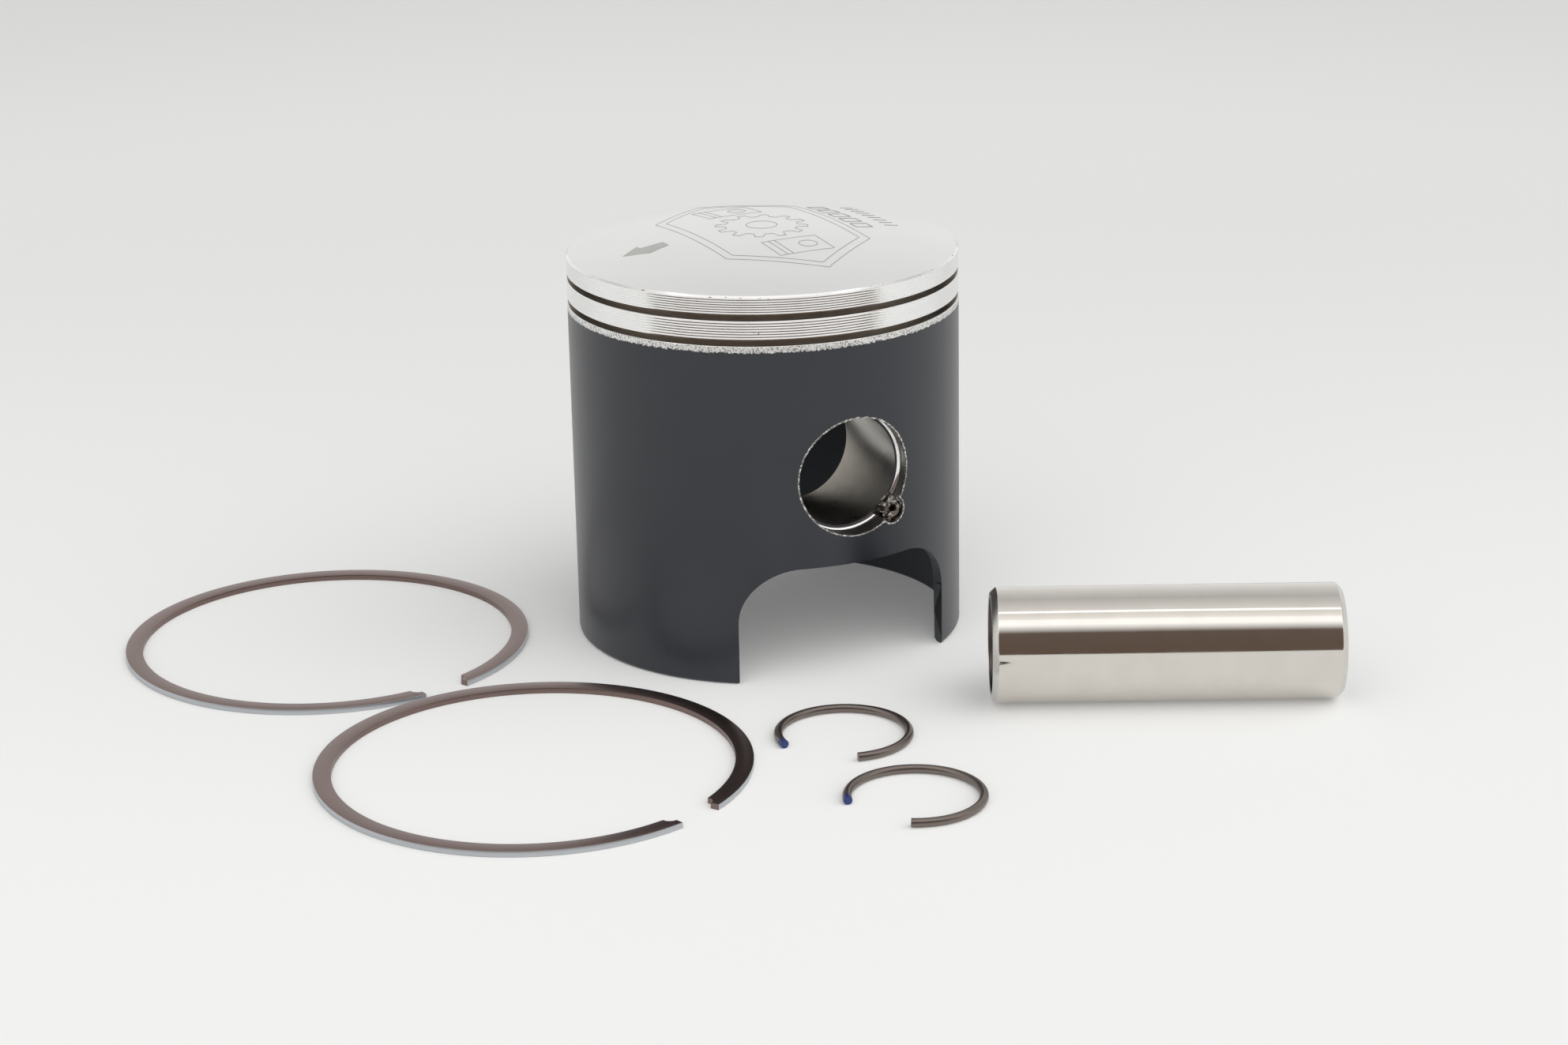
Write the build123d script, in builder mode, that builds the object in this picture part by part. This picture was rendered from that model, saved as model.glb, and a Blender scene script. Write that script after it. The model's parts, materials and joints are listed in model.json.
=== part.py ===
from build123d import *
import os
from math import cos, pi, radians, sin, sqrt

os.makedirs("parts", exist_ok=True)

# Two-stroke motorcycle piston set, laid out loose beside the piston, in millimetres.
# Origin: where the piston axis meets the wrist-pin axis. +Z points to the crown.
# The wrist-pin bore runs along Y. The exhaust side of the crown faces -X.
# Every piece rests on one flat surface, at the height named floor.

# ---------------------------------------------------------------- driving dimensions
cylinder_bore = 56.0        # bore of the cylinder that the piston runs in
piston_height = 56.1        # skirt foot to the edge of the crown
compression_height = 26.75  # wrist-pin axis to the edge of the crown
pin_diameter = 16.0         # outside of the wrist pin

# Crown and ring belt
crown_rise = 3.2            # how far the domed crown stands above its edge
crown_edge_chamfer = 0.25
crown_thickness = 5.0
top_land = 2.65             # crown edge to the first groove
second_land = 2.7           # between the two grooves
third_land = 0.6            # under the second groove, down to the skirt
groove_edge_break = 0.05
belt_wall = 6.2             # radial thickness behind the ring belt

# Skirt
skirt_clearance = 0.03      # radial, skirt to cylinder
land_clearance = 0.06       # radial, ring lands to cylinder
skirt_wall = 1.7            # at the foot
skirt_upper_wall = 2.6      # just under the ring belt
foot_round = 0.6            # outer corner of the skirt foot
foot_inner_chamfer = 0.4
belt_depth = 6.0            # how far the belt's extra thickness reaches below the second groove

# Skirt arches under the bosses, one at each end of the wrist pin
arch_half_width = 16.25
arch_corner = 8.0
arch_boss_gap = 0.45        # metal left between arch and boss
arch_corner_limit = 0.6     # a corner is never more than this part of the arch's height

# Wrist-pin bosses
boss_wall = 4.0
boss_gap = 19.6             # room between the bosses for the connecting rod's small end
boss_web = 15.0             # width of the web that ties each boss to the crown

# Fits
pin_clearance = 0.01        # radial, wrist pin in its bosses
pin_end_float = 0.15        # wrist pin to each circlip
ring_side_clearance = 0.04  # ring in its groove, up and down
ring_back_clearance = 0.35  # ring to the root of its groove
ring_end_gap = 0.25         # between a ring's ends once it is in the cylinder
peg_clearance = 0.45        # around a locating peg, in a ring's end notches
clip_clearance = 0.03       # around the circlip's wire, in its groove

# Compression rings
ring_height = 0.8
ring_width = 2.45           # radial
ring_edge_break = 0.06
ring_free_gap = 14.0        # degrees, open when the ring is out of the cylinder

# Locating pegs, one in each ring groove
peg_diameter = 1.5
peg_length = 4.0
peg_stand = 1.45            # how far a peg stands out of the groove's root
peg_angle = 25.0            # degrees to each side of +X

# Wrist pin
pin_chamfer = 0.8
pin_bore_diameter = 10.0
pin_mouth_diameter = 13.5   # the bore widens to this at both ends
pin_mouth_depth = 9.0

# Circlips
clip_wire = 1.2
clip_seat_depth = 0.75      # how far the groove is cut outside the pin bore
clip_spring = 0.65          # a free circlip's radius less its fitted radius
clip_opening = 75.0         # degrees
clip_setback = 3.22         # skirt surface to the middle of the groove
relief_step = 0.4           # the bore is this much wider, in radius, outside the groove
notch_radius = 1.9          # drilled notch for prising a circlip out
notch_angle = -45.0         # degrees, from +X towards +Z
notch_overcut = 0.2         # how far the notch goes past the groove

# Places of the loose pieces, as gaps to a neighbour and bearings from +X
first_ring_gap = 7.6        # to the piston
first_ring_bearing = 159.3
first_ring_opening = -75.3
second_ring_gap = 1.1       # to the first ring
second_ring_bearing = -83.0
second_ring_opening = -66.1
first_clip_gap = 11.2       # to the piston
first_clip_bearing = -105.15
first_clip_opening = -143.6
second_clip_gap = 4.7       # to the first circlip
second_clip_bearing = -95.1
second_clip_opening = -160.4
pin_gap = 28.8              # to the piston, from the middle of the wrist pin's side
pin_bearing = -59.8
pin_heading = -27.6

# ---------------------------------------------------------------- worked-out sizes
skirt_radius = cylinder_bore / 2 - skirt_clearance
land_radius = cylinder_bore / 2 - land_clearance
pin_radius = pin_diameter / 2
floor = compression_height - piston_height
crown_top = compression_height + crown_rise

groove_height = ring_height + ring_side_clearance
groove_root = land_radius - ring_width - ring_back_clearance
first_groove = compression_height - top_land - groove_height / 2
second_groove = first_groove - groove_height - second_land
skirt_top = second_groove - groove_height / 2 - third_land

boss_radius = pin_radius + boss_wall
arch_height = -boss_radius - arch_boss_gap - floor
arch_corner_radius = min(arch_corner, arch_height * arch_corner_limit)

bore_radius = pin_radius + pin_clearance
clip_place = skirt_radius - clip_setback
clip_seat_radius = bore_radius + clip_seat_depth
clip_fitted_radius = clip_seat_radius - clip_wire / 2
clip_free_radius = clip_fitted_radius + clip_spring
clip_groove_radius = clip_wire / 2 + clip_clearance
relief_radius = bore_radius + relief_step
pin_length = 2 * (clip_place - clip_wire / 2 - pin_end_float)

ring_free_arc = 2 * pi - radians(ring_free_gap)
ring_free_radius = (pi * cylinder_bore - ring_end_gap) / ring_free_arc
end_notch_radius = peg_diameter / 2 + peg_clearance
peg_tip = groove_root + peg_stand


def place_beside(start, distance, bearing):
    """Point at a distance from another point, along a bearing in degrees."""
    return (start[0] + distance * cos(radians(bearing)), start[1] + distance * sin(radians(bearing)))


def dome_middle(edge_radius, edge_height, rise):
    """Point halfway out along a dome's arc, whose centre is on the axis."""
    arc_radius = (edge_radius ** 2 + rise ** 2) / (2 * rise)
    half_way = edge_radius / 2
    return (half_way, edge_height + rise - arc_radius + sqrt(arc_radius ** 2 - half_way ** 2))


clip_free_outside = clip_free_radius + clip_wire / 2
first_ring_place = place_beside(
    (0, 0), skirt_radius + first_ring_gap + ring_free_radius, first_ring_bearing)
second_ring_place = place_beside(
    first_ring_place, 2 * ring_free_radius + second_ring_gap, second_ring_bearing)
first_clip_place = place_beside(
    (0, 0), skirt_radius + first_clip_gap + clip_free_outside, first_clip_bearing)
second_clip_place = place_beside(
    first_clip_place, 2 * clip_free_outside + second_clip_gap, second_clip_bearing)
wrist_pin_place = place_beside(
    (0, 0), skirt_radius + pin_gap + pin_radius, pin_bearing)

# ---------------------------------------------------------------- space inside the piston
cavity_foot_radius = skirt_radius - skirt_wall
cavity_top_radius = skirt_radius - skirt_upper_wall
belt_inner_radius = land_radius - belt_wall
belt_foot = second_groove - belt_depth
cavity_roof = crown_top - crown_thickness
cavity_roof_edge = cavity_roof - crown_rise
cavity_round = 3.0

with BuildPart() as cavity:
    with BuildSketch(Plane.XZ) as cavity_profile:
        with BuildLine():
            foot_corner = (cavity_foot_radius, floor + foot_inner_chamfer)
            belt_corner = (belt_inner_radius, belt_foot + cavity_top_radius - belt_inner_radius)
            roof_corner = (belt_inner_radius, cavity_roof_edge)
            Polyline((0, floor), (cavity_foot_radius + foot_inner_chamfer, floor), foot_corner)
            Polyline(foot_corner, (cavity_top_radius, belt_foot), belt_corner, roof_corner)
            ThreePointArc(roof_corner, dome_middle(*roof_corner, crown_rise), (0, cavity_roof))
            Line((0, cavity_roof), (0, floor))
        make_face()
        belt_corners = cavity_profile.vertices().sort_by(Axis.X)[2:4]
        fillet(belt_corners, cavity_round)
    revolve(axis=Axis.Z)
    for side in (-1, 1):
        with BuildSketch(Plane.XZ.offset(side * boss_gap / 2)):
            Circle(boss_radius)
            Rectangle(boss_web, crown_top, align=(Align.CENTER, Align.MIN))
        extrude(amount=side * skirt_radius, mode=Mode.SUBTRACT)

# ---------------------------------------------------------------- piston
with BuildPart() as piston_body:
    # Outer form: skirt, lands and domed crown
    with BuildSketch(Plane.XZ) as body_profile:
        with BuildLine():
            crown_edge = (land_radius - crown_edge_chamfer, compression_height)
            Polyline((0, floor), (skirt_radius, floor), (skirt_radius, skirt_top),
                     (land_radius, skirt_top), (land_radius, compression_height - crown_edge_chamfer),
                     crown_edge)
            ThreePointArc(crown_edge, dome_middle(*crown_edge, crown_rise), (0, crown_top))
            Line((0, crown_top), (0, floor))
        make_face()
        fillet(body_profile.vertices().group_by(Axis.Y)[0].sort_by(Axis.X)[-1], foot_round)
    revolve(axis=Axis.Z)

    # Ring grooves with broken edges
    for groove in (first_groove, second_groove):
        half = groove_height / 2
        lip = half + groove_edge_break
        with BuildSketch(Plane.XZ):
            with BuildLine():
                Polyline((groove_root, groove - half), (land_radius - groove_edge_break, groove - half),
                         (land_radius, groove - lip), (cylinder_bore, groove - lip),
                         (cylinder_bore, groove + lip), (land_radius, groove + lip),
                         (land_radius - groove_edge_break, groove + half),
                         (groove_root, groove + half), close=True)
            make_face()
        revolve(axis=Axis.Z, mode=Mode.SUBTRACT)

    # Hollow inside, which leaves the two bosses and their webs
    add(cavity.part, mode=Mode.SUBTRACT)

    # Arches through the skirt under both bosses
    with BuildSketch(Plane.XZ) as arch:
        with Locations((0, floor)):
            Rectangle(2 * arch_half_width, arch_height, align=(Align.CENTER, Align.MIN))
        fillet(arch.vertices().group_by(Axis.Y)[-1], arch_corner_radius)
    extrude(amount=cylinder_bore, both=True, mode=Mode.SUBTRACT)

    # Wrist-pin bore right through both bosses
    with BuildSketch(Plane.XZ):
        Circle(bore_radius)
    extrude(amount=cylinder_bore, both=True, mode=Mode.SUBTRACT)

    for side in (-1, 1):
        # Circlip groove, round in section
        with BuildSketch(Plane.XY):
            with Locations((clip_fitted_radius, side * clip_place)):
                Circle(clip_groove_radius)
        revolve(axis=Axis.Y, mode=Mode.SUBTRACT)
        # Wider mouth outside the groove, and the drilled notch that reaches behind the circlip
        with BuildSketch(Plane.XZ.offset(-side * clip_place)):
            Circle(relief_radius)
        extrude(amount=-side * cylinder_bore, mode=Mode.SUBTRACT)
        with BuildSketch(Plane.XZ.offset(-side * (clip_place - clip_groove_radius - notch_overcut))):
            with Locations(place_beside((0, 0), relief_radius, notch_angle)):
                Circle(notch_radius)
        extrude(amount=-side * cylinder_bore, mode=Mode.SUBTRACT)

    # Drilled holes for the two locating pegs
    for groove, angle in ((first_groove, peg_angle), (second_groove, -peg_angle)):
        outward = Vector(cos(radians(angle)), sin(radians(angle)), 0)
        start = outward * (peg_tip - peg_length) + Vector(0, 0, groove)
        with BuildSketch(Plane(origin=start, z_dir=outward)):
            Circle(peg_diameter / 2)
        extrude(amount=cylinder_bore, mode=Mode.SUBTRACT)

piston_body.part.label = "piston_body"
export_step(piston_body.part, "parts/piston_body.step")

# ---------------------------------------------------------------- locating pegs
for name, groove, angle in (("first_ring_peg", first_groove, peg_angle),
                            ("second_ring_peg", second_groove, -peg_angle)):
    outward = Vector(cos(radians(angle)), sin(radians(angle)), 0)
    start = outward * (peg_tip - peg_length) + Vector(0, 0, groove)
    with BuildPart() as peg:
        with BuildSketch(Plane(origin=start, z_dir=outward)):
            Circle(peg_diameter / 2)
        extrude(amount=peg_length)
    peg.part.label = name
    export_step(peg.part, f"parts/{name}.step")

# ---------------------------------------------------------------- compression rings
for name, place, opening in (("first_ring", first_ring_place, first_ring_opening),
                             ("second_ring", second_ring_place, second_ring_opening)):
    ring_inside = ring_free_radius - ring_width
    ends = (opening + ring_free_gap / 2, opening - ring_free_gap / 2)
    # The section stands at one end of the ring and is turned round to the other
    section_plane = Plane(origin=(*place, floor), x_dir=(cos(radians(ends[0])), sin(radians(ends[0])), 0),
                          z_dir=(sin(radians(ends[0])), -cos(radians(ends[0])), 0))
    with BuildPart() as ring:
        with BuildSketch(section_plane) as section:
            with Locations((ring_inside, 0)):
                Rectangle(ring_width, ring_height, align=(Align.MIN, Align.MIN))
            chamfer(section.vertices(), ring_edge_break)
        revolve(axis=Axis((*place, 0), (0, 0, 1)), revolution_arc=360 - ring_free_gap)
        # Rounded notch at the inner corner of each end, for the locating peg
        for end in ends:
            notch_place = place_beside(place, ring_inside, end)
            with BuildSketch(Plane.XY.offset(floor)):
                with Locations(notch_place):
                    Circle(end_notch_radius)
            extrude(amount=ring_height, mode=Mode.SUBTRACT)
    ring.part.label = name
    export_step(ring.part, f"parts/{name}.step")

# ---------------------------------------------------------------- wrist pin
along = (cos(radians(pin_heading)), sin(radians(pin_heading)), 0)
half_length = pin_length / 2
mouth_radius = pin_mouth_diameter / 2
pin_bore_radius = pin_bore_diameter / 2
pin_middle = (*wrist_pin_place, floor + pin_radius)

with BuildPart() as wrist_pin:
    with BuildSketch(Plane(origin=pin_middle, x_dir=along)):
        with BuildLine():
            Polyline((-half_length, mouth_radius), (-half_length, pin_radius - pin_chamfer),
                     (pin_chamfer - half_length, pin_radius), (half_length - pin_chamfer, pin_radius),
                     (half_length, pin_radius - pin_chamfer), (half_length, mouth_radius),
                     (half_length - pin_mouth_depth, pin_bore_radius),
                     (pin_mouth_depth - half_length, pin_bore_radius), close=True)
        make_face()
    revolve(axis=Axis(pin_middle, along))

wrist_pin.part.label = "wrist_pin"
export_step(wrist_pin.part, "parts/wrist_pin.step")

# ---------------------------------------------------------------- circlips
for name, place, opening in (("first_circlip", first_clip_place, first_clip_opening),
                             ("second_circlip", second_clip_place, second_clip_opening)):
    end = opening + clip_opening / 2
    wire_plane = Plane(origin=(*place, floor + clip_wire / 2), x_dir=(cos(radians(end)), sin(radians(end)), 0),
                       z_dir=(sin(radians(end)), -cos(radians(end)), 0))
    with BuildPart() as circlip:
        with BuildSketch(wire_plane):
            with Locations((clip_free_radius, 0)):
                Circle(clip_wire / 2)
        revolve(axis=Axis((*place, 0), (0, 0, 1)), revolution_arc=360 - clip_opening)
    circlip.part.label = name
    export_step(circlip.part, f"parts/{name}.step")
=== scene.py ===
import json
import random
from math import asin, atan2, ceil, cos, hypot, pi, radians, sin, sqrt

import bmesh
import bpy
from bpy.props import FloatProperty, FloatVectorProperty, IntProperty, PointerProperty
from bpy.types import Operator, Panel, PropertyGroup
from mathutils import Matrix, Vector


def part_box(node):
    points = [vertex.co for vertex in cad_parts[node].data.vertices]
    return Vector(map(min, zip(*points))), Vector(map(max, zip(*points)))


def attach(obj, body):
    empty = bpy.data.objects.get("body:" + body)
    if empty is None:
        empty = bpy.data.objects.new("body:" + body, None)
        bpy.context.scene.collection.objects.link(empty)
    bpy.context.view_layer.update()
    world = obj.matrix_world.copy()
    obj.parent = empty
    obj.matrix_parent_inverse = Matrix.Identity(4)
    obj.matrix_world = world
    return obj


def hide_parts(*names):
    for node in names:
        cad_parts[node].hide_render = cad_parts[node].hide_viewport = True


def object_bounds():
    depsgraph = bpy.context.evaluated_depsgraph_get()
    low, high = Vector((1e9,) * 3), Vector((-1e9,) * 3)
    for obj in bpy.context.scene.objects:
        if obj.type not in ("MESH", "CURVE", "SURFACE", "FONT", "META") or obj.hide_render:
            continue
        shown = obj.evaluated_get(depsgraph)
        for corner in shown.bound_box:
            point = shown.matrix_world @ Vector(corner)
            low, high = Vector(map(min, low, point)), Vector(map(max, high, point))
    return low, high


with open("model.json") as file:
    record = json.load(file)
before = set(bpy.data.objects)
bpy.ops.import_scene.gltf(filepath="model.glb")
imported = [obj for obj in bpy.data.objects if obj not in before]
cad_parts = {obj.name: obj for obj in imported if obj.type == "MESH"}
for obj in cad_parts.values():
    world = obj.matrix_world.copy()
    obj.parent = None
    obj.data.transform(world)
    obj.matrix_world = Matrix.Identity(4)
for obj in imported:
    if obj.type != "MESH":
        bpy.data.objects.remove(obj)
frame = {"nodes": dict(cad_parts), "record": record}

bl_info = {
    "name": "Two-stroke piston set",
    "version": (1, 0, 0),
    "blender": (4, 5, 0),
    "location": "3D View > Sidebar > Piston set",
    "description": "Finished look of a two-stroke piston with its rings, wrist pin and circlips",
    "category": "Object",
}

CAD_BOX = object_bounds()
MM = 0.001
WELD = 0.0005 * MM            # points closer than this are one point
TOUCH = 0.05 * MM             # a face closer to a surface than this lies on it
SMOOTH_ANGLE = radians(28)    # edges sharper than this stay crisp

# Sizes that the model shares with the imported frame
PISTON_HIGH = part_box("piston_body")[1]
FLOOR = CAD_BOX[0].z
SKIRT_RADIUS = PISTON_HIGH.x
LAND_RADIUS = SKIRT_RADIUS - 0.03 * MM
CROWN_TOP = PISTON_HIGH.z
CROWN_RISE = 3.2 * MM
CROWN_EDGE = CROWN_TOP - CROWN_RISE
EDGE_CHAMFER = 0.25 * MM
DOME_EDGE_RADIUS = LAND_RADIUS - EDGE_CHAMFER
GROOVE_LIP = 0.47 * MM        # middle of a ring groove to the edge of the land beside it
GROOVE_ROOT = 25.0 * MM       # the ring grooves are cut no deeper than this radius
BORE_MOUTH_RADIUS = 8.41 * MM
BORE_WIDEST = 8.9 * MM        # nothing in the pin bore is wider than this
BOSS_START = 9.0 * MM         # the bosses lie further than this from the middle
NOTCH_RADIUS = 1.9 * MM
NOTCH_DIRECTION = radians(-45)
NOTCH_X = BORE_MOUTH_RADIUS * cos(NOTCH_DIRECTION)
NOTCH_Z = BORE_MOUTH_RADIUS * sin(NOTCH_DIRECTION)
NOTCH_FLOOR = 23.5 * MM       # the notches are drilled in as far as this
COATED_HEIGHT = 19.3 * MM     # nothing above this is coated
FOOT_COAT = 0.67 * MM         # the coating goes this far in round the skirt's foot

# Camera and light tent
CAMERA_PLACE = (-212.93, -425.21, 144.92)    # millimetres
CAMERA_TURN = (-26.888, 71.435, -1.091)      # turn, tilt and roll, in degrees
TENT_FRONT = Matrix.Rotation(radians(-116.6), 3, "Z") @ Vector((1, 0, 0))    # it is open here
# Brightness of the tent over the top, from the front (0 degrees) to the back (180 degrees)
TENT_ARCH = ((0, 0.15, 0.11, 0.085), (42, 0.16, 0.12, 0.10), (54, 1.1, 1.1, 1.1),
             (59, 1.5, 1.5, 1.5), (68, 1.5, 1.5, 1.5), (72, 1.15, 1.13, 1.1),
             (84, 0.95, 0.93, 0.9), (85, 1.9, 1.9, 1.9), (88, 1.9, 1.9, 1.9),
             (89, 0.95, 0.94, 0.92), (103, 0.8, 0.78, 0.77), (120, 0.62, 0.62, 0.62),
             (140, 0.76, 0.76, 0.76), (156, 0.88, 0.88, 0.88), (180, 0.95, 0.95, 0.95))
TENT_SCALE = 2.0             # colours hold no more than 1, so the tent's are divided by this
TENT_WALL = "#f3f3f2"        # the tent's two sides
TENT_HORIZON = "#e9e9e7"     # plain backdrop beyond the floor, towards the front
# The backdrop is darker towards the back as painted shade
TENT_BACKDROP = "#d8d8d6"    # and towards the back
FILL_FRONT = 1.78            # matte light from the front
FILL_BACK = 0.26             # and from the back
FILL_TURN = 32               # degrees from the tent's front to the middle of the matte light


def linear(code):
    """Turn an sRGB hex colour into linear RGBA."""
    values = [int(code[place:place + 2], 16) / 255 for place in (1, 3, 5)]
    bent = [v / 12.92 if v <= 0.04045 else ((v + 0.055) / 1.055) ** 2.4 for v in values]
    return (*bent, 1.0)


def length(name, description, default):
    """A length setting, given in millimetres."""
    return FloatProperty(name=name, description=description, default=default * MM, min=0.0,
                         subtype="DISTANCE", unit="LENGTH", precision=5)


def colour(name, description, code):
    """A colour setting, given as sRGB hex."""
    return FloatVectorProperty(name=name, description=description, default=linear(code),
                               size=4, min=0.0, max=1.0, subtype="COLOR")


# ---------------------------------------------------------------- settings
class PistonSettings(PropertyGroup):
    ridge_pitch: length("Ridge pitch", "Spacing of the turned ridges on the ring lands", 0.36)
    ridge_depth: length("Ridge depth", "Depth of the turned ridges", 0.038)
    coat_edge: length("Coating edge", "Height of the coating's upper edge above the pin axis",
                      18.85)
    coat_wander: length("Coating wander", "How far the coating's edge wanders up and down", 0.38)
    burr_width: length("Bore edge width", "Width of the bare broken edge around the pin bore",
                       0.15)
    aluminium: colour("Aluminium", "Bare turned aluminium", "#f2f2f1")
    coating: colour("Coating", "Graphite-filled skirt coating", "#14171f")


class MarkSettings(PropertyGroup):
    line_width: length("Line width", "Width of the scribed lines", 0.13)
    badge_length: length("Badge length", "Length of the six-sided badge", 41.0)
    badge_width: length("Badge width", "Width of the six-sided badge", 22.5)
    scribed: colour("Scribed line", "Colour of the scribed lines", "#9a9a98")
    etched: colour("Etched arrow", "Colour of the etched arrow", "#c6c6c3")


class RingSettings(PropertyGroup):
    ring_width: length("Ring width", "Radial width of a ring", 2.45)
    edge_break: length("Edge break", "Rounding of a ring's long edges", 0.07)
    notch: length("End notch", "Radius of the notch at the inner corner of each end", 1.2)
    gap: FloatProperty(name="Gap", description="Free opening of a ring", default=radians(14),
                       subtype="ANGLE", unit="ROTATION")
    nitrided: colour("Nitrided steel", "Sides and inside of a ring", "#7b6a66")
    face: colour("Running face", "Outer face of a ring", "#c9ccd0")


class PinSettings(PropertyGroup):
    chamfer: length("Chamfer", "Chamfer at each end", 0.8)
    hollow: length("Hollow", "Diameter of the straight hollow", 10.0)
    mouth: length("Mouth", "Diameter of the hollow at each end", 13.5)
    mouth_depth: length("Mouth depth", "How far in the hollow keeps narrowing", 9.0)
    steel: colour("Ground steel", "Outside of the wrist pin", "#dcd8d2")


class ClipSettings(PropertyGroup):
    opening: FloatProperty(name="Opening", description="Gap between a circlip's ends",
                           default=radians(75), subtype="ANGLE", unit="ROTATION")
    paint_length: length("Paint length", "How much of one end is painted", 0.9)
    wire: colour("Spring wire", "Oil-tempered spring wire", "#857b75")
    paint: colour("Marking paint", "Paint on one end", "#1b1d5a")


class StageSettings(PropertyGroup):
    paper: colour("Paper", "Floor under the parts", "#ebebe9")
    # The far paper tone is painted shade, where the floor greys away from the parts
    paper_far_shade: colour("Far paper", "The floor far behind the parts", "#cacac8")
    glow: FloatProperty(name="Glow", description="Light that comes up through the floor",
                        default=0.14, min=0.0)
    focal_length: FloatProperty(name="Focal length", description="Camera lens in millimetres",
                                default=78.73, min=1.0)
    floor_radius: length("Floor radius", "Size of the floor", 6000.0)
    sides: IntProperty(name="Floor sides", description="Corners of the floor's rim", default=96)


# ---------------------------------------------------------------- shared helpers
def add(tree, kind, inputs=None, **settings):
    """Add a node with its own settings; each input is a value or an output to link."""
    node = tree.nodes.new(kind)
    for name, value in settings.items():
        setattr(node, name, value)
    for socket, value in (inputs or {}).items():
        if isinstance(value, bpy.types.NodeSocket):
            tree.links.new(value, node.inputs[socket])
        else:
            node.inputs[socket].default_value = value
    return node


def start_material(name, **shader_values):
    """A material with its shader, and a vector output in millimetres."""
    material = bpy.data.materials.new(name)
    material.use_nodes = True
    tree = material.node_tree
    tree.nodes.clear()
    shader = add(tree, "ShaderNodeBsdfPrincipled", shader_values)
    add(tree, "ShaderNodeOutputMaterial", {"Surface": shader.outputs["BSDF"]})
    place = add(tree, "ShaderNodeTexCoord").outputs["Object"]
    millimetres = add(tree, "ShaderNodeVectorMath", {0: place, "Scale": 1 / MM}, operation="SCALE")
    return material, tree, shader, millimetres.outputs[0]


def finish_piece(bm, name, body, materials, replaced=(), round_normal=None):
    """Make a bmesh into a smooth-shaded piece that rides on a CAD body."""
    bmesh.ops.remove_doubles(bm, verts=bm.verts, dist=WELD)
    bmesh.ops.recalc_face_normals(bm, faces=bm.faces)
    for face in bm.faces:
        face.smooth = True
    mesh = bpy.data.meshes.new(name)
    bm.to_mesh(mesh)
    bm.free()
    for material in materials:
        mesh.materials.append(material)
    mesh.set_sharp_from_angle(angle=SMOOTH_ANGLE)
    if round_normal:
        normals = [corner.vector.copy() for corner in mesh.corner_normals]
        for face in mesh.polygons:
            for corner in face.loop_indices:
                place = mesh.vertices[mesh.loops[corner].vertex_index].co
                normals[corner] = round_normal(face, place) or normals[corner]
        mesh.normals_split_custom_set(normals)
    piece = bpy.data.objects.new(name, mesh)
    bpy.context.scene.collection.objects.link(piece)
    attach(piece, body)
    if replaced:
        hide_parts(*replaced)
    return piece


def dome_height(x, y):
    """Height of the crown's dome at a place on it."""
    ball = (DOME_EDGE_RADIUS ** 2 + CROWN_RISE ** 2) / (2 * CROWN_RISE)
    return CROWN_TOP - ball + sqrt(ball ** 2 - x ** 2 - y ** 2)


def streaks(tree, place, per_mm, detail):
    """A streaky pattern, with its own number of streaks per millimetre along each axis."""
    squeezed = add(tree, "ShaderNodeVectorMath", {0: place, 1: per_mm}, operation="MULTIPLY")
    lines = add(tree, "ShaderNodeTexNoise", {"Vector": squeezed.outputs[0], "Scale": 1.0,
                                             "Detail": detail})
    return lines.outputs[0]


def set_finish(tree, shader, tone, shine=None, relief=None):
    """Drive a shader by patterns: tone is (pattern, colour, colour), shine is (pattern, low,
    high) for the roughness, and relief is (pattern, depth in millimetres)."""
    pattern, *ends = tone
    one, other = (linear(end) if isinstance(end, str) else end for end in ends)
    mixed = add(tree, "ShaderNodeMix", {"Factor": pattern, "A": one, "B": other},
                data_type="RGBA")
    tree.links.new(mixed.outputs["Result"], shader.inputs["Base Color"])
    if shine:
        pattern, low, high = shine
        spread = add(tree, "ShaderNodeMapRange", {"Value": pattern, "To Min": low, "To Max": high})
        tree.links.new(spread.outputs[0], shader.inputs["Roughness"])
    if relief:
        pattern, depth = relief
        bump = add(tree, "ShaderNodeBump", {"Height": pattern, "Distance": depth * MM})
        tree.links.new(bump.outputs[0], shader.inputs["Normal"])


# ---------------------------------------------------------------- piston finishes
COAT, INSIDE, TURNED, FACED, BORED, TORN, GROOVED = range(7)


def turned_aluminium(s):
    # Forged aluminium turned on a lathe. Bright, slightly satin, with a few dark pores
    # and nicks where the tool left the crown's edge.
    material, tree, shader, mm = start_material("turned_aluminium", Metallic=1.0)
    height = add(tree, "ShaderNodeSeparateXYZ", {0: mm}).outputs["Z"]
    pores = add(tree, "ShaderNodeTexNoise", {"Vector": mm, "Scale": 3.4, "Detail": 1.0})
    pore_mask = add(tree, "ShaderNodeMapRange", {"Value": pores.outputs[0], "From Min": 0.755,
                                                 "From Max": 0.79})
    nicks = streaks(tree, mm, (0.99, 0.99, 3.3), 2.0)
    nick_mask = add(tree, "ShaderNodeMapRange", {"Value": nicks, "From Min": 0.66,
                                                 "From Max": 0.69})
    # The nicks fade in just under the crown's chamfer
    chamfer_foot = (CROWN_EDGE - EDGE_CHAMFER) / MM
    near_edge = add(tree, "ShaderNodeMapRange", {"Value": height, "From Min": chamfer_foot - 0.12,
                                                 "From Max": chamfer_foot})
    edge_nick = add(tree, "ShaderNodeMath", {0: nick_mask.outputs[0], 1: near_edge.outputs[0]},
                    operation="MULTIPLY")
    dark = add(tree, "ShaderNodeMath", {0: edge_nick.outputs[0], 1: pore_mask.outputs[0]},
               operation="MAXIMUM")
    # Tool chatter, a few micrometres deep, drawn at 0.12 mm so that it can be seen
    chatter = streaks(tree, mm, (0.05, 0.05, 8.0), 2.0)
    set_finish(tree, shader, (dark.outputs[0], s.aluminium, "#4a4744"), (chatter, 0.1, 0.16),
               (chatter, 0.001))
    return material


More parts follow.
